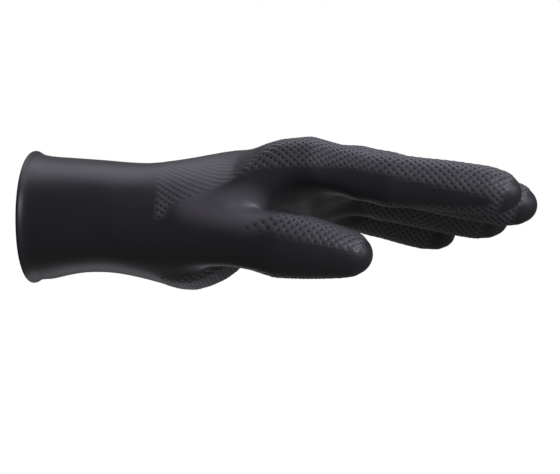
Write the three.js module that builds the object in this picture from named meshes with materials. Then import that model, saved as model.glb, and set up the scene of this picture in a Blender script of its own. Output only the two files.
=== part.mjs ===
// A nitrile exam glove for the left hand, hollow, in the form that it keeps when it is worn.
// Millimetres. The origin is the middle of the wrist. +X runs to the fingertips, +Y to the little
// finger's side and +Z to the back of the hand, so the palm faces down and the thumb lies at -Y.
// The glove is one dipped film: an outer wall, an inner wall and a bead rolled at the cuff's rim.
import * as THREE from 'three';

// Film and rolled bead
const filmThickness = 1;
const beadDiameter = 2.2;

// Lengths along the hand
const cuffLength = 52.5;
const palmLength = 92;
const webDepth = 6;
const middleFingerLength = 84;
const thumbLength = 66;
const knuckleSlant = 12;

// Girths
const wristWidth = 84;
const wristHeight = 55;
const knuckleBreadth = 88;
const fingerWidth = 20;
const fingerHeight = 23;
const thumbWidth = 23.5;
const tipLength = 15;
const digitRowLength = 7.1;

// Counts of rows and columns in the walls. The hand's first column lies at the index's thumb side, and
// the columns go over the back, down the little finger's side, under the palm and up the thumb's side.
const cuffRows = 8;
const palmRows = 13;
const digitColumns = 8;
const digitRing = 2 * digitColumns + 4;
const capSide = digitRing / 4;
const capStart = (digitColumns - capSide + 1) / 2;
const fingers = 4;
const backColumns = fingers * digitColumns;
const handRing = 2 * backColumns + 4;
const rowsBeforeThumb = 2;
const columnsBeforeThumb = 60;
const sectionSamples = 360;
const beadSteps = 6;
const easingRounds = 16;

// Sections of the cuff and palm. at is a share of the cuff's length below 0 and of the palm's above it.
// Widths and sideways shifts are shares of the wrist's width, heights and lifts of its height, and roll
// is in degrees. power is the superellipse's, 2 for an ellipse. On the thumb's side, thenar pushes the
// section out and bevel draws its upper half in, and spread widens the columns that the thumb grows from.
const handSections = [
  {
    at: -1, width: 0.98, height: 1.07, shift: 0, lift: 0.045, roll: 0,
    power: 2.15, thenar: 0, bevel: 0, spread: 0,
  },
  {
    at: -0.88, width: 0.99, height: 1.05, shift: 0, lift: 0.038, roll: 0,
    power: 2.15, thenar: 0, bevel: 0, spread: 0,
  },
  {
    at: -0.66, width: 1, height: 0.985, shift: 0, lift: 0.056, roll: 0,
    power: 2.4, thenar: 0, bevel: 0, spread: 0,
  },
  {
    at: -0.36, width: 1.01, height: 0.955, shift: 0, lift: 0.051, roll: 2,
    power: 2.45, thenar: 0, bevel: 0, spread: 0,
  },
  {
    at: -0.09, width: 1.01, height: 0.975, shift: 0, lift: 0.018, roll: 4,
    power: 2.4, thenar: 0, bevel: 0.04, spread: 0,
  },
  {
    at: 0.02, width: 1, height: 1.005, shift: 0, lift: 0, roll: 6,
    power: 2.4, thenar: 0.01, bevel: 0.06, spread: 0.2,
  },
  {
    at: 0.17, width: 0.99, height: 1.095, shift: 0, lift: -0.018, roll: 9,
    power: 2.4, thenar: 0.05, bevel: 0.18, spread: 0.6,
  },
  {
    at: 0.28, width: 0.98, height: 1.11, shift: 0, lift: 0.008, roll: 11,
    power: 2.3, thenar: 0.09, bevel: 0.3, spread: 0.9,
  },
  {
    at: 0.45, width: 0.98, height: 1, shift: 0, lift: 0.113, roll: 15,
    power: 2.2, thenar: 0.08, bevel: 0.45, spread: 1,
  },
  {
    at: 0.56, width: 0.98, height: 0.725, shift: 0, lift: 0.23, roll: 20,
    power: 2.4, thenar: 0.03, bevel: 0.32, spread: 0.9,
  },
  {
    at: 0.66, width: 1, height: 0.57, shift: 0.012, lift: 0.288, roll: 21,
    power: 2.7, thenar: 0, bevel: 0.02, spread: 0.6,
  },
  {
    at: 0.87, width: 1.03, height: 0.575, shift: 0.018, lift: 0.328, roll: 19,
    power: 2.8, thenar: 0, bevel: 0, spread: 0.1,
  },
  {
    at: 1, width: 1.04, height: 0.65, shift: 0.024, lift: 0.365, roll: 18,
    power: 2.6, thenar: 0, bevel: 0, spread: 0,
  },
];

// Finger stalls, from the index to the little finger. across and lift place a stall's root, as shares
// of the knuckles' breadth and the fingers' height. spread, drop and curl are degrees: away from +X
// sideways, down at the root, and further down by the tip. length is a share of the middle finger's
// length, and width and height are shares of the fingers' width and height.
const fingerStalls = [
  {
    across: -0.355, lift: 0.95, spread: -1, drop: 3.5, curl: 5,
    length: 0.895, width: 1, height: 1,
  },
  {
    across: -0.105, lift: 1.1, spread: 0.5, drop: 14.5, curl: -5,
    length: 1.01, width: 1, height: 0.98,
  },
  {
    across: 0.142, lift: 0.68, spread: 2.5, drop: 13, curl: -2,
    length: 0.89, width: 0.98, height: 0.97,
  },
  {
    across: 0.382, lift: 0.29, spread: 5, drop: 16, curl: -1,
    length: 0.66, width: 0.92, height: 0.88,
  },
];

// Girth along a stall, from its root to where the tip's dome starts: the width and the height
// there, as shares of the stall's own.
const stallGirth = [
  { at: 0, wide: 0.98, high: 1.08 },
  { at: 0.2, wide: 1, high: 1.06 },
  { at: 0.45, wide: 1, high: 1 },
  { at: 0.75, wide: 1, high: 1 },
  { at: 1, wide: 0.96, high: 0.96 },
];

// The thumb starts inside its hole in the palm's rows, this far out and down as shares of the wrist's
// width and height. Its middle line then runs to its tip in shares of the thumb's length, and its
// width and height along it are shares of the thumb's width.
const thumbRoot = { out: 0.33, down: 0.09 };
const thumbLine = [
  { x: 0.12, y: -0.02, z: 0.015, wide: 1.4, high: 1.5 },
  { x: 0.34, y: -0.165, z: -0.014, wide: 1.17, high: 1.4 },
  { x: 0.62, y: -0.222, z: -0.054, wide: 1.09, high: 1.33 },
  { x: 0.88, y: -0.23, z: -0.09, wide: 1.04, high: 1.2 },
  { x: 1.13, y: -0.23, z: -0.128, wide: 0.98, high: 1 },
];

// How strongly points are drawn to their neighbours' mean in each round of easing
const knuckleEase = 0.6;
const thumbHoleEase = 0.6;
const thumbHoleEaseFade = 0.2;
const webEase = 0.6;
const webEaseFade = 0.15;
const webEaseLeast = 0.1;
const stallEase = [0.35];
const thumbEase = [0.75, 0.5, 0.25];

// A digit's eased rings start nearer to its root, by their ease raised to this power
const rootPull = 1.25;

// The latitudes of the two rings in a tip's dome, and how wide the bead's seam with the walls is
const domeAngles = [32, 58];
const beadSeamAngle = 50;

// Where the knuckles' slant starts, as a share of their breadth from the middle, and how much of it
// is reached at their edge
const slantStart = -0.25;
const slantAtEdge = 1;

const radians = THREE.MathUtils.degToRad;
const lerp = THREE.MathUtils.lerp;

// A smooth value read from a table with rows sorted by the column key.
function follow(rows, key, column, where) {
  const last = rows.length - 1;
  const here = THREE.MathUtils.clamp(where, rows[0][key], rows[last][key]);
  const i = Math.min(rows.findLastIndex((row) => row[key] <= here), last - 1);
  const slope = (a, b) => (rows[b][column] - rows[a][column]) / (rows[b][key] - rows[a][key]);
  const step = rows[i + 1][key] - rows[i][key];
  const t = (here - rows[i][key]) / step;
  const slopeIn = slope(Math.max(i - 1, 0), i + 1);
  const slopeOut = slope(i, Math.min(i + 2, last));
  const eased = THREE.MathUtils.smoothstep(t, 0, 1);
  const bend = step * (slopeIn * t * (1 - t) ** 2 - slopeOut * t ** 2 * (1 - t));
  return lerp(rows[i][column], rows[i + 1][column], eased) + bend;
}

// The outer wall's points, how far each is eased into its neighbours, and the quads that join them.
const outer = [];
const easing = [];
const quads = [];

function addPoint(point, ease = 0) {
  easing.push(ease);
  return outer.push(point) - 1;
}

function joinRings(near, far, skip = () => false) {
  const count = near.length;
  for (let j = 0; j < count; j++) {
    const next = (j + 1) % count;
    if (!skip(j)) quads.push([near[j], far[j], far[next], near[next]]);
  }
}

// How far the rows fall back towards the little finger, a share of the knuckles' slant.
function fallBack(y) {
  const share = (y / knuckleBreadth - slantStart) / (0.5 - slantStart);
  return Math.max(share, 0) ** 2 * slantAtEdge;
}

const handTable = handSections.map((row) => {
  const length = row.at < 0 ? cuffLength : palmLength;
  return { ...row, x: row.at * length };
});

// The hand's outline at x, as points (y, z) round it from the middle of its back.
function handOutline(section) {
  const halfWidth = (section('width') * wristWidth) / 2;
  const halfHeight = (section('height') * wristHeight) / 2;
  const power = 2 / section('power');
  const middle = new THREE.Vector2();
  return Array.from({ length: sectionSamples + 1 }, (_, i) => {
    const angle = (2 * Math.PI * i) / sectionSamples;
    const across = Math.sign(Math.sin(angle)) * Math.abs(Math.sin(angle)) ** power;
    const high = Math.sign(Math.cos(angle)) * Math.abs(Math.cos(angle)) ** power;
    const thumbSide = across < 0 ? section('thenar') - section('bevel') * high : 0;
    const point = new THREE.Vector2(halfWidth * across * (1 + thumbSide), halfHeight * high);
    point.rotateAround(middle, -radians(section('roll')));
    return point.add(new THREE.Vector2(section('shift') * wristWidth, section('lift') * wristHeight));
  });
}

// A ring of points round the hand at x, evenly spaced except where the thumb grows.
function handPoints(x) {
  const section = (column) => follow(handTable, 'x', column, x);
  const outline = handOutline(section);
  const slant = knuckleSlant * THREE.MathUtils.smoothstep(x, 0, palmLength);
  const reach = [0];
  for (let i = 1; i < outline.length; i++) reach.push(reach[i - 1] + outline[i].distanceTo(outline[i - 1]));
  const weights = Array.from({ length: handRing }, (_, column) => {
    const fromThumb = (column + 0.5 - columnsBeforeThumb - capSide / 2) / capSide;
    return 1 + section('spread') * Math.max(0, 1 - fromThumb ** 2);
  });
  const total = weights.reduce((sum, weight) => sum + weight, 0);
  let along = -weights.slice(0, backColumns / 2).reduce((sum, weight) => sum + weight, 0);
  return weights.map((weight) => {
    const goal = THREE.MathUtils.euclideanModulo(along / total, 1) * reach.at(-1);
    along += weight;
    const i = Math.max(reach.findIndex((length) => length >= goal), 1);
    const t = (goal - reach[i - 1]) / (reach[i] - reach[i - 1]);
    const point = outline[i - 1].clone().lerp(outline[i], t);
    return new THREE.Vector3(x - slant * fallBack(point.x), point.x, point.y);
  });
}

// The cell of the palm's rows and columns lies in the square hole that the thumb grows from.
function inThumbHole(row, column) {
  const rowInside = row >= rowsBeforeThumb && row < rowsBeforeThumb + capSide;
  return rowInside && column >= columnsBeforeThumb && column < columnsBeforeThumb + capSide;
}

// Rows from the rim to the knuckles. Points inside the thumb's hole are left out.
function makeHand() {
  const rows = [];
  for (let i = -cuffRows; i <= palmRows; i++) {
    const x = i < 0 ? (i / cuffRows) * cuffLength : (i / palmRows) * palmLength;
    const nearWebs = i >= palmRows - 1 ? knuckleEase : 0;
    const ring = handPoints(x).map((point, c) => {
      const hidden = inThumbHole(i, c) && inThumbHole(i - 1, c) && inThumbHole(i, c - 1);
      if (hidden) return null;
      const rowsAway = Math.max(rowsBeforeThumb - i, i - rowsBeforeThumb - capSide, 0);
      const columnsAway = Math.max(columnsBeforeThumb - c, c - columnsBeforeThumb - capSide, 0);
      const nearThumb = thumbHoleEase - thumbHoleEaseFade * Math.hypot(rowsAway, columnsAway);
      return addPoint(point, Math.max(nearWebs, nearThumb, 0));
    });
    rows.push(ring);
    if (i > -cuffRows) joinRings(rows.at(-2), ring, (c) => inThumbHole(i - 1, c));
  }
  return rows;
}

// The directions across a digit that points along direction: to its little finger's side and up.
function digitAxes(direction) {
  const side = new THREE.Vector3(0, 0, 1).cross(direction).normalize();
  return { side, up: direction.clone().cross(side).normalize() };
}

// A ring across a digit at middle point, in the order of the hand's columns: over the back, down the
// little finger's side, under the palm face and up the thumb's side.
function digitPoints(middle, direction, halfWidth, halfHeight) {
  const { side, up } = digitAxes(direction);
  return Array.from({ length: digitRing }, (_, j) => {
    const angle = (2 * Math.PI * (j - digitColumns / 2)) / digitRing;
    return middle.clone()
      .addScaledVector(side, halfWidth * Math.sin(angle))
      .addScaledVector(up, halfHeight * Math.cos(angle));
  });
}

// Rows along a digit from its root ring to where the tip starts, then the tip.
function makeDigit(root, line, girths, size, easeRoot) {
  const length = line.getLength();
  const depth = (tipLength * size.height) / fingerHeight;
  const shaft = length - depth;
  const rings = Math.round(shaft / digitRowLength);
  const halfAt = (at) => ({
    width: (follow(girths, 'at', 'wide', at) * size.width) / 2,
    height: (follow(girths, 'at', 'high', at) * size.height) / 2,
  });
  let near = root;
  for (let i = 1; i <= rings; i++) {
    const half = halfAt(i / rings);
    const share = ((i / rings) * shaft) / length;
    const points = digitPoints(line.getPointAt(share), line.getTangentAt(share), half.width, half.height);
    const ease = easeRoot[i - 1] ?? 0;
    const ring = points.map((point, j) => addPoint(point.lerp(outer[root[j]], ease ** rootPull), ease));
    joinRings(near, ring);
    near = ring;
  }
  const share = shaft / length;
  closeTip(near, line.getPointAt(share), line.getTangentAt(share), depth, halfAt(1));
}

// A tip is a half ellipsoid: two rings, then a square patch whose corners sit on the second ring's
// points.
function closeTip(start, centre, direction, depth, half) {
  let ring = start;
  for (const angle of domeAngles.map(radians)) {
    const middle = centre.clone().addScaledVector(direction, depth * Math.sin(angle));
    const narrowed = Math.cos(angle);
    const points = digitPoints(middle, direction, half.width * narrowed, half.height * narrowed);
    const next = points.map((point) => addPoint(point));
    joinRings(ring, next);
    ring = next;
  }
  const { side, up } = digitAxes(direction);
  const onDome = (point) => {
    const across = point.clone().sub(centre).dot(side);
    const high = point.clone().sub(centre).dot(up);
    const inward = 1 - (across / half.width) ** 2 - (high / half.height) ** 2;
    return centre.clone()
      .addScaledVector(side, across)
      .addScaledVector(up, high)
      .addScaledVector(direction, depth * Math.sqrt(inward));
  };
  const rim = (k) => ring[(capStart + k) % digitRing];
  const patch = [];
  for (let i = 0; i <= capSide; i++) {
    patch.push([]);
    for (let k = 0; k <= capSide; k++) {
      const top = rim(i);
      const right = rim(2 * capSide - k);
      const bottom = rim(3 * capSide - i);
      const left = rim(3 * capSide + k);
      if (k === capSide) patch[i].push(top);
      else if (i === capSide) patch[i].push(right);
      else if (k === 0) patch[i].push(bottom);
      else if (i === 0) patch[i].push(left);
      else {
        const across = outer[left].clone().lerp(outer[right], i / capSide);
        const upward = outer[bottom].clone().lerp(outer[top], k / capSide);
        patch[i].push(addPoint(onDome(across.lerp(upward, 0.5))));
      }
    }
  }
  for (let i = 0; i < capSide; i++) {
    for (let k = 0; k < capSide; k++) {
      quads.push([patch[i][k], patch[i + 1][k], patch[i + 1][k + 1], patch[i][k + 1]]);
    }
  }
}

// A stall's middle line, bending evenly down from drop to drop plus curl.
function stallLine(stall) {
  const y = stall.across * knuckleBreadth;
  const x = palmLength + webDepth - knuckleSlant * fallBack(y);
  const root = new THREE.Vector3(x, y, stall.lift * fingerHeight);
  const length = stall.length * middleFingerLength;
  const heading = (drop) => new THREE.Vector3(1, 0, 0)
    .applyAxisAngle(new THREE.Vector3(0, 1, 0), radians(drop))
    .applyAxisAngle(new THREE.Vector3(0, 0, 1), radians(stall.spread));
  const bend = root.clone().addScaledVector(heading(stall.drop), length / 2);
  const tip = bend.clone().addScaledVector(heading(stall.drop + stall.curl), length / 2);
  return new THREE.QuadraticBezierCurve3(root, bend, tip);
}

// The four stalls. Neighbours share three web points: back, middle and palm side.
function makeFingers(knuckles) {
  const palmStart = digitColumns + 2;
  const stalls = fingerStalls.map((stall) => ({
    line: stallLine(stall),
    size: { width: stall.width * fingerWidth, height: stall.height * fingerHeight },
    root: [],
  }));
  stalls.forEach(({ line, size, root }, f) => {
    const halfWidth = (size.width * stallGirth[0].wide) / 2;
    const halfHeight = (size.height * stallGirth[0].high) / 2;
    const points = digitPoints(line.getPointAt(0), line.getTangentAt(0), halfWidth, halfHeight);
    const shared = new Map();
    if (f > 0) {
      const before = stalls[f - 1].root;
      shared.set(0, before[digitColumns]);
      shared.set(digitRing - 1, before[digitColumns + 1]);
      shared.set(digitRing - 2, before[palmStart]);
    }
    points.forEach((point, j) => {
      if (shared.has(j)) {
        outer[shared.get(j)].lerp(point, 0.5);
        root.push(shared.get(j));
      } else {
        const columnsToWeb = [j, j - digitColumns, j - palmStart, digitRing - 2 - j].map(Math.abs);
        const nearWeb = webEase - webEaseFade * Math.min(...columnsToWeb);
        root.push(addPoint(point, Math.max(nearWeb, webEaseLeast)));
      }
    });
  });
  const roots = stalls.map((stall) => stall.root);
  const webRow = [];
  for (let f = 0; f < fingers; f++) webRow.push(...roots[f].slice(f === 0 ? 0 : 1, digitColumns + 1));
  webRow.push(roots[fingers - 1][digitColumns + 1]);
  for (let f = fingers - 1; f >= 0; f--) {
    webRow.push(...roots[f].slice(f === fingers - 1 ? palmStart : palmStart + 1, digitRing - 1));
  }
  webRow.push(roots[0][digitRing - 1]);
  joinRings(knuckles, webRow);
  for (const { line, size, root } of stalls) makeDigit(root, line, stallGirth, size, stallEase);
}

// The thumb grows from the square hole in the palm's rows, in four sides of the hole's edge.
function makeThumb(rows) {
  const firstRow = cuffRows + rowsBeforeThumb;
  const lastRow = firstRow + capSide;
  const lowColumn = columnsBeforeThumb;
  const highColumn = lowColumn + capSide;
  const root = [];
  for (let j = 0; j < digitRing; j++) {
    const step = (j - capStart + digitRing) % digitRing;
    const along = step % capSide;
    const edge = Math.floor(step / capSide);
    if (edge === 0) root.push(rows[firstRow + along][highColumn]);
    if (edge === 1) root.push(rows[lastRow][highColumn - along]);
    if (edge === 2) root.push(rows[lastRow - along][lowColumn]);
    if (edge === 3) root.push(rows[firstRow][lowColumn + along]);
  }
  const holeMiddle = ((rowsBeforeThumb + capSide / 2) / palmRows) * palmLength;
  const start = new THREE.Vector3(holeMiddle, -thumbRoot.out * wristWidth, -thumbRoot.down * wristHeight);
  const points = thumbLine.map((row) => start.clone().addScaledVector(row, thumbLength));
  const girths = thumbLine.map((row, i) => ({ ...row, at: i / (thumbLine.length - 1) }));
  const size = { width: thumbWidth, height: thumbWidth };
  makeDigit(root, new THREE.CatmullRomCurve3(points), girths, size, thumbEase);
}

// Eases the points round the webs and the thumb's root towards the mean of their neighbours.
function easeJoints() {
  const neighbours = outer.map(() => new Set());
  for (const quad of quads) {
    quad.forEach((point, k) => {
      neighbours[point].add(quad[(k + 1) % 4]);
      neighbours[point].add(quad[(k + 3) % 4]);
    });
  }
  for (let round = 0; round < easingRounds; round++) {
    const moved = outer.map((point, i) => {
      if (easing[i] === 0) return point;
      const mean = new THREE.Vector3();
      for (const other of neighbours[i]) mean.add(outer[other]);
      mean.divideScalar(neighbours[i].size);
      return point.clone().lerp(mean, easing[i]);
    });
    moved.forEach((point, i) => outer[i].copy(point));
  }
}

// Each point's normal, from the quads round it.
function wallNormals() {
  const normals = outer.map(() => new THREE.Vector3());
  for (const [a, b, c, d] of quads) {
    const diagonal = outer[c].clone().sub(outer[a]);
    const face = diagonal.cross(outer[d].clone().sub(outer[b]));
    for (const point of [a, b, c, d]) normals[point].add(face);
  }
  return normals.map((normal) => normal.normalize());
}

// The inner wall and the bead close the film into one solid.
function makeFilm(rim) {
  const normals = wallNormals();
  const points = outer.map((point) => point.clone());
  const inward = (point, i) => point.clone().addScaledVector(normals[i], -filmThickness);
  const inner = outer.map((point, i) => points.push(inward(point, i)) - 1);
  const faces = quads.map((quad) => [...quad]);
  for (const [a, b, c, d] of quads) faces.push([inner[d], inner[c], inner[b], inner[a]]);
  const beadRadius = beadDiameter / 2;
  const rings = [rim];
  for (let k = 0; k < beadSteps; k++) {
    const angle = radians(lerp(beadSeamAngle, 360 - beadSeamAngle, k / (beadSteps - 1)));
    const ring = rim.map((index) => {
      const out = normals[index].clone().setX(0).normalize();
      const point = outer[index].clone();
      point.addScaledVector(out, beadRadius - filmThickness + beadRadius * Math.sin(angle));
      point.x += beadRadius * Math.cos(angle) - beadDiameter;
      return points.push(point) - 1;
    });
    rings.push(ring);
  }
  rings.push(rim.map((index) => inner[index]));
  for (let k = 1; k < rings.length; k++) {
    for (let c = 0; c < handRing; c++) {
      const next = (c + 1) % handRing;
      faces.push([rings[k][c], rings[k - 1][c], rings[k - 1][next], rings[k][next]]);
    }
  }
  return { points, faces };
}

// Each quad is cut along its shorter diagonal. Points that no quad uses are left out.
function filmGeometry({ points, faces }) {
  const used = new Map();
  const positions = [];
  const index = [];
  const slot = (point) => {
    if (!used.has(point)) {
      used.set(point, positions.length / 3);
      positions.push(...points[point].toArray());
    }
    return used.get(point);
  };
  for (const [a, b, c, d] of faces) {
    const short = points[a].distanceTo(points[c]) < points[b].distanceTo(points[d]);
    const corners = short ? [a, b, c, a, c, d] : [b, c, d, b, d, a];
    index.push(...corners.map(slot));
  }
  const geometry = new THREE.BufferGeometry();
  geometry.setAttribute('position', new THREE.Float32BufferAttribute(positions, 3));
  geometry.setIndex(index);
  geometry.computeVertexNormals();
  return geometry;
}

const handRows = makeHand();
makeFingers(handRows.at(-1));
makeThumb(handRows);
easeJoints();

const nitrile = new THREE.MeshStandardMaterial({ color: 0x2b2a2d, roughness: 0.55, metalness: 0 });
const glove = new THREE.Mesh(filmGeometry(makeFilm(handRows[0])), nitrile);
glove.name = 'glove';

const part = new THREE.Group();
part.add(glove);
export default part;
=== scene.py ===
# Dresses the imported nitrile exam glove. The film stays in the glove's own frame, in metres: +X runs to
# the fingertips, +Z to the back of the hand, and the thumb is at -Y. The dictionaries hold millimetres.
import math

import bmesh
import bpy
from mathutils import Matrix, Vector, noise


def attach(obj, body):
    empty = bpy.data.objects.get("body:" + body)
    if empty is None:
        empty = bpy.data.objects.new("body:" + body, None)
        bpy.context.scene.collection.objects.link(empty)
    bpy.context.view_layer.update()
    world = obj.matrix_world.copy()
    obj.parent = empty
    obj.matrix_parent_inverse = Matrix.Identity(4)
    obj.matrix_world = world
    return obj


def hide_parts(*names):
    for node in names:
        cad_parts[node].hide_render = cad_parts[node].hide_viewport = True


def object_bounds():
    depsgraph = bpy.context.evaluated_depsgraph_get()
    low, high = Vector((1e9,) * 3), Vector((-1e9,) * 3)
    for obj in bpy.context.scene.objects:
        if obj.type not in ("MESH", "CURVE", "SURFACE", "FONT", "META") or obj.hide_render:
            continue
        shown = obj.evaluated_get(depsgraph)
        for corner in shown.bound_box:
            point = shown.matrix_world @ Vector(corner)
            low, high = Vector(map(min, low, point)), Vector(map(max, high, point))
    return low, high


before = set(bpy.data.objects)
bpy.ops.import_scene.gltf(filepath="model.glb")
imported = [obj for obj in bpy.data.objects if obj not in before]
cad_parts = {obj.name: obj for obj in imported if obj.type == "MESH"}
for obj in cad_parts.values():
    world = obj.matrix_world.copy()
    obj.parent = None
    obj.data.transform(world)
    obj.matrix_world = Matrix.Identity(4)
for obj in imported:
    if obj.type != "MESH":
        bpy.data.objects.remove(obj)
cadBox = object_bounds()
mm = 0.001
print("frame loaded")


# the camera stands a little towards the fingertips and just above the hand, as in the photograph
cameraView = {
    "aim": (61, 0, -6.6),
    "azimuth": 5,
    "elevation": 3,
    "distance": 950,
    "framedWidth": 262.6,  # what the picture's width spans at the aim
    "sensor": 36,
    "clip": (50, 50000),
}


def makeCamera(view):
    azimuth = math.radians(view["azimuth"])
    elevation = math.radians(view["elevation"])
    level = math.cos(elevation)
    back = Vector((math.sin(azimuth) * level, -math.cos(azimuth) * level, math.sin(elevation)))
    data = bpy.data.cameras.new("camera")
    data.sensor_width = view["sensor"]
    data.lens = view["sensor"] * view["distance"] / view["framedWidth"]
    data.clip_start, data.clip_end = (depth * mm for depth in view["clip"])
    camera = bpy.data.objects.new("camera", data)
    camera.location = (Vector(view["aim"]) + back * view["distance"]) * mm
    camera.rotation_euler = back.to_track_quat("Z", "Y").to_euler()
    bpy.context.collection.objects.link(camera)
    bpy.context.scene.camera = camera


makeCamera(cameraView)
print("camera placed")


# the film: one outer wall, one inner wall and the bead rolled at the rim
film = {
    "merge": 0.001,
    "gridLike": 2,        # how strongly the triangles' pairing prefers an even grid
    "beadDepth": 3.2,     # from the rim's end to where the plain cuff starts
    "longRow": 4.6,       # rows of the hand and digits longer than this are halved
    "alongShare": 0.6,    # an edge with this share of its length along X runs along the hand
    "halvedFrom": -4,     # rows nearer the rim than this stay whole, apart from the flare's
    "flareLength": 7,     # the cuff's last stretch, which opens like a trumpet's bell
    "flareRise": 0.9,     # by this much at the rim
    "unevenness": 0.12,   # slow waves that the hand leaves in the stretched film
    "waveLength": 14,
}

# the grip pattern: pits a few millimetres apart in a raised net, as the rough former leaves them
grip = {
    "pitDepth": 0.8,
    "netHeight": 0.34,
    "netLevel": 0.7,      # height of the net's strands, as a share of its crossings
    "start": 7,           # the pattern starts this far past the wrist's middle
    "softEdge": 2.5,
    "stretched": 0.3,     # relief that is left on the stretched back of the hand
    "onBack": (0.3, 0.85),  # how far up the film faces where that thinning starts and ends
    "fullFrom": (42, 66),
}

# film stretched smooth: a line along the hand, and how far round its two ends the pattern is gone
smoothFilm = {
    "thenar": {"from": (14, -46, -17), "to": (38, -48, -14), "reach": (20, 17)},
    "web": {"from": (22, -44, 2), "to": (56, -40, 14), "reach": (9, 11)},
    "indexBase": {"from": (58, -44, 17), "to": (93, -44, 17), "reach": (10, 10)},
    "palmFront": {"from": (66, -30, 10), "to": (94, -30, 10), "reach": (12, 12)},
    "indexSide": {"from": (98, -42, 17.5), "to": (156, -42, 11), "reach": (8, 2)},
    "palmHollow": {"from": (62, -20, 6), "to": (88, 14, 2), "reach": (18, 15)},
    "thumbSide": {"from": (52, -54, -10), "to": (96, -54, -19.5), "reach": (9, 8.5)},
    "thumbTip": {"from": (106, -43, -17), "to": (112, -43, -18), "reach": (11, 12)},
    "indexTip": {"from": (172, -33, 11), "to": (178, -33, 11), "reach": (10, 12)},
    "middleTip": {"from": (177, -9, 6), "to": (184, -9, 6), "reach": (9, 11)},
    "ringTip": {"from": (162, 15, 0), "to": (168, 15, 0), "reach": (9, 11)},
    "littleTip": {"from": (135, 38, -8), "to": (141, 38, -8), "reach": (8, 10)},
}

# a painted highlight where the film is drawn thin over the tendon between the wrist and the thumb
paintedWebHighlight = {"from": (25, -42, 11), "to": (52, -43, 7), "reach": (2, 5), "softEdge": 10}

outside, inside, bead = 0, 1, 2  # material slots of the film's three regions


def quadFilm(node):
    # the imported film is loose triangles: merge them and pair them back into quads
    mesh = bmesh.new()
    mesh.from_mesh(node.data)
    bmesh.ops.remove_doubles(mesh, verts=mesh.verts, dist=film["merge"] * mm)
    bmesh.ops.join_triangles(
        mesh, faces=mesh.faces, angle_face_threshold=math.pi, angle_shape_threshold=math.pi,
        topology_influence=film["gridLike"],
    )
    return mesh


def markRegions(mesh, rimEnd):
    # the outer wall is what can be reached from the farthest fingertip without crossing the bead
    for face in mesh.faces:
        face.material_index = inside if face.calc_center_median().x > rimEnd else bead
    tip = max(mesh.verts, key=lambda vert: vert.co.x)
    front = list(tip.link_faces)
    while front:
        face = front.pop()
        face.material_index = outside
        sides = {other for edge in face.edges for other in edge.link_faces}
        front.extend(other for other in sides if other.material_index == inside)


def halveLongRows(mesh):
    long = set()
    for face in mesh.faces:
        for edge in face.edges if face.material_index == outside else ():
            span = edge.verts[1].co - edge.verts[0].co
            alongHand = abs(span.x) > film["alongShare"] * span.length
            nearest = min(vert.co.x for vert in edge.verts)
            inFlare = nearest < cadBox[0].x + film["flareLength"] * mm
            halved = inFlare or nearest > film["halvedFrom"] * mm
            if alongHand and halved and span.length > film["longRow"] * mm:
                long.add(edge)
    bmesh.ops.subdivide_edges(mesh, edges=list(long), cuts=1)


def smoothed(mesh):
    # one level of Subdivision Surface, applied
    data = bpy.data.meshes.new("level")
    mesh.to_mesh(data)
    mesh.free()
    holder = bpy.data.objects.new("level", data)
    bpy.context.collection.objects.link(holder)
    level = holder.modifiers.new("level", "SUBSURF")
    level.levels = level.render_levels = 1
    level.use_limit_surface = False
    finished = bmesh.new()
    finished.from_object(holder, bpy.context.evaluated_depsgraph_get())
    bpy.data.objects.remove(holder)
    bpy.data.meshes.remove(data)
    return finished


def markCells(mesh):
    # in a subdivided film every edge joins a side's middle to a corner or a cell's middle. The corners
    # and middles, always the larger half, become pits and the sides' middles the net's crossings
    layer = mesh.verts.layers.float.new("grip")
    mesh.verts.ensure_lookup_table()
    half = {mesh.verts[0]: 0}
    front = [mesh.verts[0]]
    while front:
        vert = front.pop()
        for edge in vert.link_edges:
            other = edge.other_vert(vert)
            if other not in half:
                half[other] = 1 - half[vert]
                front.append(other)
    net = 1 if sum(half.values()) * 2 < len(half) else 0
    for vert, side in half.items():
        vert[layer] = 1 if side == net else 0
    return layer


def easeStep(low, high, value):
    t = min(max((value - low) / (high - low), 0), 1)
    return t * t * (3 - 2 * t)


def awayFrom(stretch, point, softEdge):
    # 0 within the stretch's reach, 1 past its soft edge
    start = Vector(stretch["from"])
    line = Vector(stretch["to"]) - start
    along = min(max((point - start).dot(line) / line.length_squared, 0), 1)
    reach = stretch["reach"][0] + (stretch["reach"][1] - stretch["reach"][0]) * along
    return easeStep(reach, reach + softEdge, (point - start - line * along).length)


def patternShare(point):
    share = easeStep(grip["start"], grip["start"] + grip["softEdge"], point.x)
    for stretch in smoothFilm.values():
        share *= awayFrom(stretch, point, grip["softEdge"])
    return share


def gripHeight(cell):
    # from a pit at 0, over the net's strands at a half, to its crossings at 1
    strand = grip["netHeight"] * grip["netLevel"]
    if cell < 0.5:
        return -grip["pitDepth"] + (strand + grip["pitDepth"]) * cell * 2
    return strand + (grip["netHeight"] - strand) * (cell * 2 - 1)


def flareRim(mesh):
    # the walls and the bead open together towards the rim
    ring = [vert.co.z for vert in mesh.verts if vert.co.x < cadBox[0].x + film["beadDepth"] * mm]
    middle = (min(ring) + max(ring)) / 2
    for vert in mesh.verts:
        into = (vert.co.x - cadBox[0].x) / mm / film["flareLength"]
        if into < 1:
            out = Vector((0, vert.co.y, vert.co.z - middle)).normalized()
            vert.co += out * film["flareRise"] * (1 - max(into, 0)) ** 2 * mm


def outerVerts(mesh):
    return {vert for face in mesh.faces if face.material_index == outside for vert in face.verts}


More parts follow.
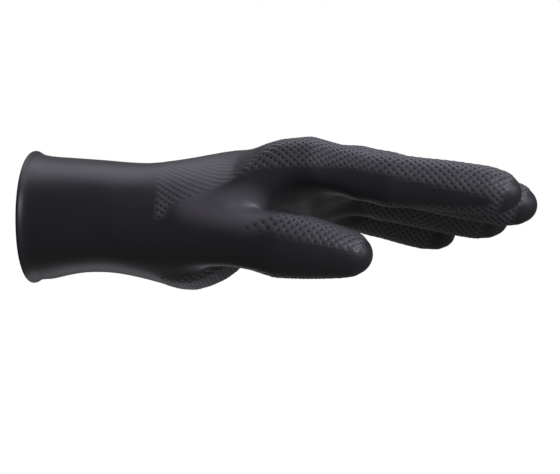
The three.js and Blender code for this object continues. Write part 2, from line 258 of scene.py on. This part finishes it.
def raiseGrip(mesh, cells):
    share = mesh.verts.layers.float.new("pattern")
    webHighlight = mesh.verts.layers.float.new("webHighlight")
    for vert in outerVerts(mesh):
        vert[share] = patternShare(vert.co / mm)
        # painted highlight: 1 within the patch over the thumb's tendon, 0 past its soft edge
        vert[webHighlight] = 1 - awayFrom(paintedWebHighlight, vert.co / mm, paintedWebHighlight["softEdge"])
    patterned = set()
    for face in mesh.faces:
        if any(vert[share] > 0 for vert in face.verts):
            patterned.update(face.edges)
    bmesh.ops.subdivide_edges(mesh, edges=list(patterned), cuts=1, use_grid_fill=True)
    mesh.normal_update()
    rises = {}
    for vert in outerVerts(mesh):
        point = vert.co / mm
        onBack = easeStep(*grip["onBack"], vert.normal.z)
        stretched = onBack * (1 - easeStep(*grip["fullFrom"], point.x))
        vert[share] *= 1 - (1 - grip["stretched"]) * stretched
        wave = noise.noise(point / film["waveLength"]) * film["unevenness"]
        rises[vert] = vert.normal * (gripHeight(vert[cells]) * vert[share] + wave) * mm
    for vert, rise in rises.items():
        vert.co += rise


def makeFilm(node):
    mesh = quadFilm(node)
    markRegions(mesh, cadBox[0].x + film["beadDepth"] * mm)
    halveLongRows(mesh)
    mesh = smoothed(mesh)
    raiseGrip(mesh, markCells(mesh))
    flareRim(mesh)
    data = bpy.data.meshes.new("glove_film")
    for face in mesh.faces:
        face.smooth = True
    mesh.to_mesh(data)
    mesh.free()
    piece = bpy.data.objects.new("glove_film", data)
    bpy.context.collection.objects.link(piece)
    print("film made of", sum(len(face.vertices) - 2 for face in data.polygons), "triangles")
    return piece


gloveFilm = makeFilm(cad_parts["glove"])


def linearColour(hexCode):
    channels = [int(hexCode[i:i + 2], 16) / 255 for i in (1, 3, 5)]
    linear = [c / 12.92 if c <= 0.04045 else ((c + 0.055) / 1.055) ** 2.4 for c in channels]
    return (*linear, 1)


def addNode(tree, kind, settings, links=None):
    node = tree.nodes.new(kind)
    for name, value in settings.items():
        if isinstance(name, int) or name in node.inputs:
            node.inputs[name].default_value = value
        else:
            setattr(node, name, value)
    for name, socket in (links or {}).items():
        tree.links.new(socket, node.inputs[name])
    return node


def newMaterial(name):
    material = bpy.data.materials.new(name)
    material.use_nodes = True
    material.node_tree.nodes.clear()
    return material, material.node_tree


# Black nitrile, dipped on a rough former and washed in chlorine: near black, a broad soft sheen where
# it is lit, and a fine dull tooth. Painted shade darkens the pits, a painted highlight makes the raised
# net's strands paler, and a paler patch where film is drawn thin over a tendon is a painted highlight.
satinNitrile = {
    "film": "#2b292d",
    "thin": "#343137",
    # painted shade in the pits, and a painted highlight on the raised net's strands
    "paintedPitShade": "#0c0c0e",
    "net": "#59575d",
    # a painted highlight over the thumb's tendon, where the film is drawn thin
    "webHighlight": "#625f66",
    "cloud": 22,         # size of the slow changes of tone
    "cloudDetail": 3,
    "tooth": 0.55,       # grain of the dull surface, drawn coarser than real to show
    "toothDetail": 2,
    "toothDepth": 0.02,
    "toothStrength": 0.35,
    "roughness": (0.40, 0.50),
    "ior": 1.52,
}


def makeSatinNitrile(values):
    material, tree = newMaterial("satinNitrile")
    place = addNode(tree, "ShaderNodeTexCoord", {})
    cell = addNode(tree, "ShaderNodeAttribute", {"attribute_name": "grip"})
    share = addNode(tree, "ShaderNodeAttribute", {"attribute_name": "pattern"})
    highlightShare = addNode(tree, "ShaderNodeAttribute", {"attribute_name": "webHighlight"})
    cloud = addNode(
        tree, "ShaderNodeTexNoise",
        {"Scale": 1 / (values["cloud"] * mm), "Detail": values["cloudDetail"]},
        {"Vector": place.outputs["Object"]},
    )
    tooth = addNode(
        tree, "ShaderNodeTexNoise",
        {"Scale": 1 / (values["tooth"] * mm), "Detail": values["toothDetail"]},
        {"Vector": place.outputs["Object"]},
    )
    tone = addNode(
        tree, "ShaderNodeMix",
        {"data_type": "RGBA", 6: linearColour(values["film"]), 7: linearColour(values["thin"])},
        {0: cloud.outputs["Fac"]},
    )
    # the painted highlight over the thumb's tendon, laid on the film's tone
    withWebHighlight = addNode(
        tree, "ShaderNodeMix", {"data_type": "RGBA", 7: linearColour(values["webHighlight"])},
        {0: highlightShare.outputs["Fac"], 6: tone.outputs[2]},
    )
    # the cell's height sets painted shade in the pits and a painted highlight on the net's strands
    strand = addNode(tree, "ShaderNodeMapRange", {"From Max": 0.5}, {"Value": cell.outputs["Fac"]})
    pitShadeNetHighlight = addNode(
        tree, "ShaderNodeMix",
        {"data_type": "RGBA", 6: linearColour(values["paintedPitShade"]), 7: linearColour(values["net"])},
        {0: strand.outputs[0]},
    )
    colour = addNode(
        tree, "ShaderNodeMix", {"data_type": "RGBA"},
        {0: share.outputs["Fac"], 6: withWebHighlight.outputs[2], 7: pitShadeNetHighlight.outputs[2]},
    )
    low, high = values["roughness"]
    dull = addNode(
        tree, "ShaderNodeMapRange", {"To Min": low, "To Max": high}, {"Value": cloud.outputs["Fac"]}
    )
    relief = addNode(
        tree, "ShaderNodeBump",
        {"Strength": values["toothStrength"], "Distance": values["toothDepth"] * mm},
        {"Height": tooth.outputs["Fac"]},
    )
    shader = addNode(
        tree, "ShaderNodeBsdfPrincipled", {"IOR": values["ior"]},
        {"Base Color": colour.outputs[2], "Roughness": dull.outputs[0], "Normal": relief.outputs[0]},
    )
    addNode(tree, "ShaderNodeOutputMaterial", {}, {"Surface": shader.outputs[0]})
    return material


# The inner face, chlorinated so that a dry hand slides in: duller, a shade darker, with a faint bloom.
chlorinatedLining = {
    "film": "#222124",
    "dust": "#2d2c2f",
    "cloud": 9,
    "cloudDetail": 4,
    "roughness": 0.62,
    "ior": 1.52,
}


def makeChlorinatedLining(values):
    material, tree = newMaterial("chlorinatedLining")
    place = addNode(tree, "ShaderNodeTexCoord", {})
    cloud = addNode(
        tree, "ShaderNodeTexNoise",
        {"Scale": 1 / (values["cloud"] * mm), "Detail": values["cloudDetail"]},
        {"Vector": place.outputs["Object"]},
    )
    colour = addNode(
        tree, "ShaderNodeMix",
        {"data_type": "RGBA", 6: linearColour(values["film"]), 7: linearColour(values["dust"])},
        {0: cloud.outputs["Fac"]},
    )
    shader = addNode(
        tree, "ShaderNodeBsdfPrincipled", {"IOR": values["ior"], "Roughness": values["roughness"]},
        {"Base Color": colour.outputs[2]},
    )
    addNode(tree, "ShaderNodeOutputMaterial", {}, {"Surface": shader.outputs[0]})
    return material


nitrile = makeSatinNitrile(satinNitrile)
lining = makeChlorinatedLining(chlorinatedLining)
for material in (nitrile, lining, nitrile):
    gloveFilm.data.materials.append(material)
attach(gloveFilm, "root")
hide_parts("glove")
print("materials made")


# a white room: a wide soft light overhead and behind, a small weak one behind and below the cuff,
# and one in front of the fingertips
studio = {
    "white": "#ffffff",
    "roomLight": 0.12,
    "floorDrop": 800,
    "floorSize": 12000,
    "overhead": {"at": (160, 400, 980), "size": (1500, 900), "power": 6.6, "colour": "#f3eeff"},
    "below": {"at": (-20, 150, -150), "size": (160, 60), "power": 0.028, "colour": "#f3f3ff"},
    "fingerSide": {"at": (900, -550, 420), "size": (700, 500), "power": 6.5, "colour": "#f6f3ff"},
}


def makeLight(name, values):
    data = bpy.data.lights.new(name, "AREA")
    data.shape = "RECTANGLE"
    data.size, data.size_y = (side * mm for side in values["size"])
    data.energy = values["power"]
    data.color = linearColour(values["colour"])[:3]
    light = bpy.data.objects.new(name, data)
    light.location = Vector(values["at"]) * mm
    away = light.location - Vector(cameraView["aim"]) * mm
    light.rotation_euler = away.to_track_quat("Z", "Y").to_euler()
    light.visible_camera = False
    bpy.context.collection.objects.link(light)


def makeWorld(values):
    world = bpy.data.worlds.new("studio")
    bpy.context.scene.world = world
    world.use_nodes = True
    tree = world.node_tree
    tree.nodes.clear()
    seen = addNode(tree, "ShaderNodeBackground", {"Color": linearColour(values["white"]), "Strength": 1})
    room = addNode(
        tree, "ShaderNodeBackground",
        {"Color": linearColour(values["white"]), "Strength": values["roomLight"]},
    )
    path = addNode(tree, "ShaderNodeLightPath", {})
    both = addNode(
        tree, "ShaderNodeMixShader", {},
        {0: path.outputs["Is Camera Ray"], 1: room.outputs[0], 2: seen.outputs[0]},
    )
    addNode(tree, "ShaderNodeOutputWorld", {}, {"Surface": both.outputs[0]})


def makeFloor(values):
    # far below the held-up glove, evenly white, and no light of its own falls on the glove
    material, tree = newMaterial("whitePaper")
    paper = addNode(tree, "ShaderNodeEmission", {"Color": linearColour(values["white"]), "Strength": 1})
    addNode(tree, "ShaderNodeOutputMaterial", {}, {"Surface": paper.outputs[0]})
    mesh = bmesh.new()
    bmesh.ops.create_grid(mesh, x_segments=1, y_segments=1, size=values["floorSize"] * mm / 2)
    bmesh.ops.translate(mesh, verts=mesh.verts, vec=(0, 0, -values["floorDrop"] * mm))
    data = bpy.data.meshes.new("floor")
    mesh.to_mesh(data)
    mesh.free()
    data.materials.append(material)
    floor = bpy.data.objects.new("floor", data)
    bpy.context.collection.objects.link(floor)
    floor.visible_diffuse = False
    floor.visible_glossy = False


for name in ("overhead", "below", "fingerSide"):
    makeLight(name, studio[name])
makeWorld(studio)
makeFloor(studio)
bpy.context.scene.view_settings.view_transform = "Standard"
print("studio lit")
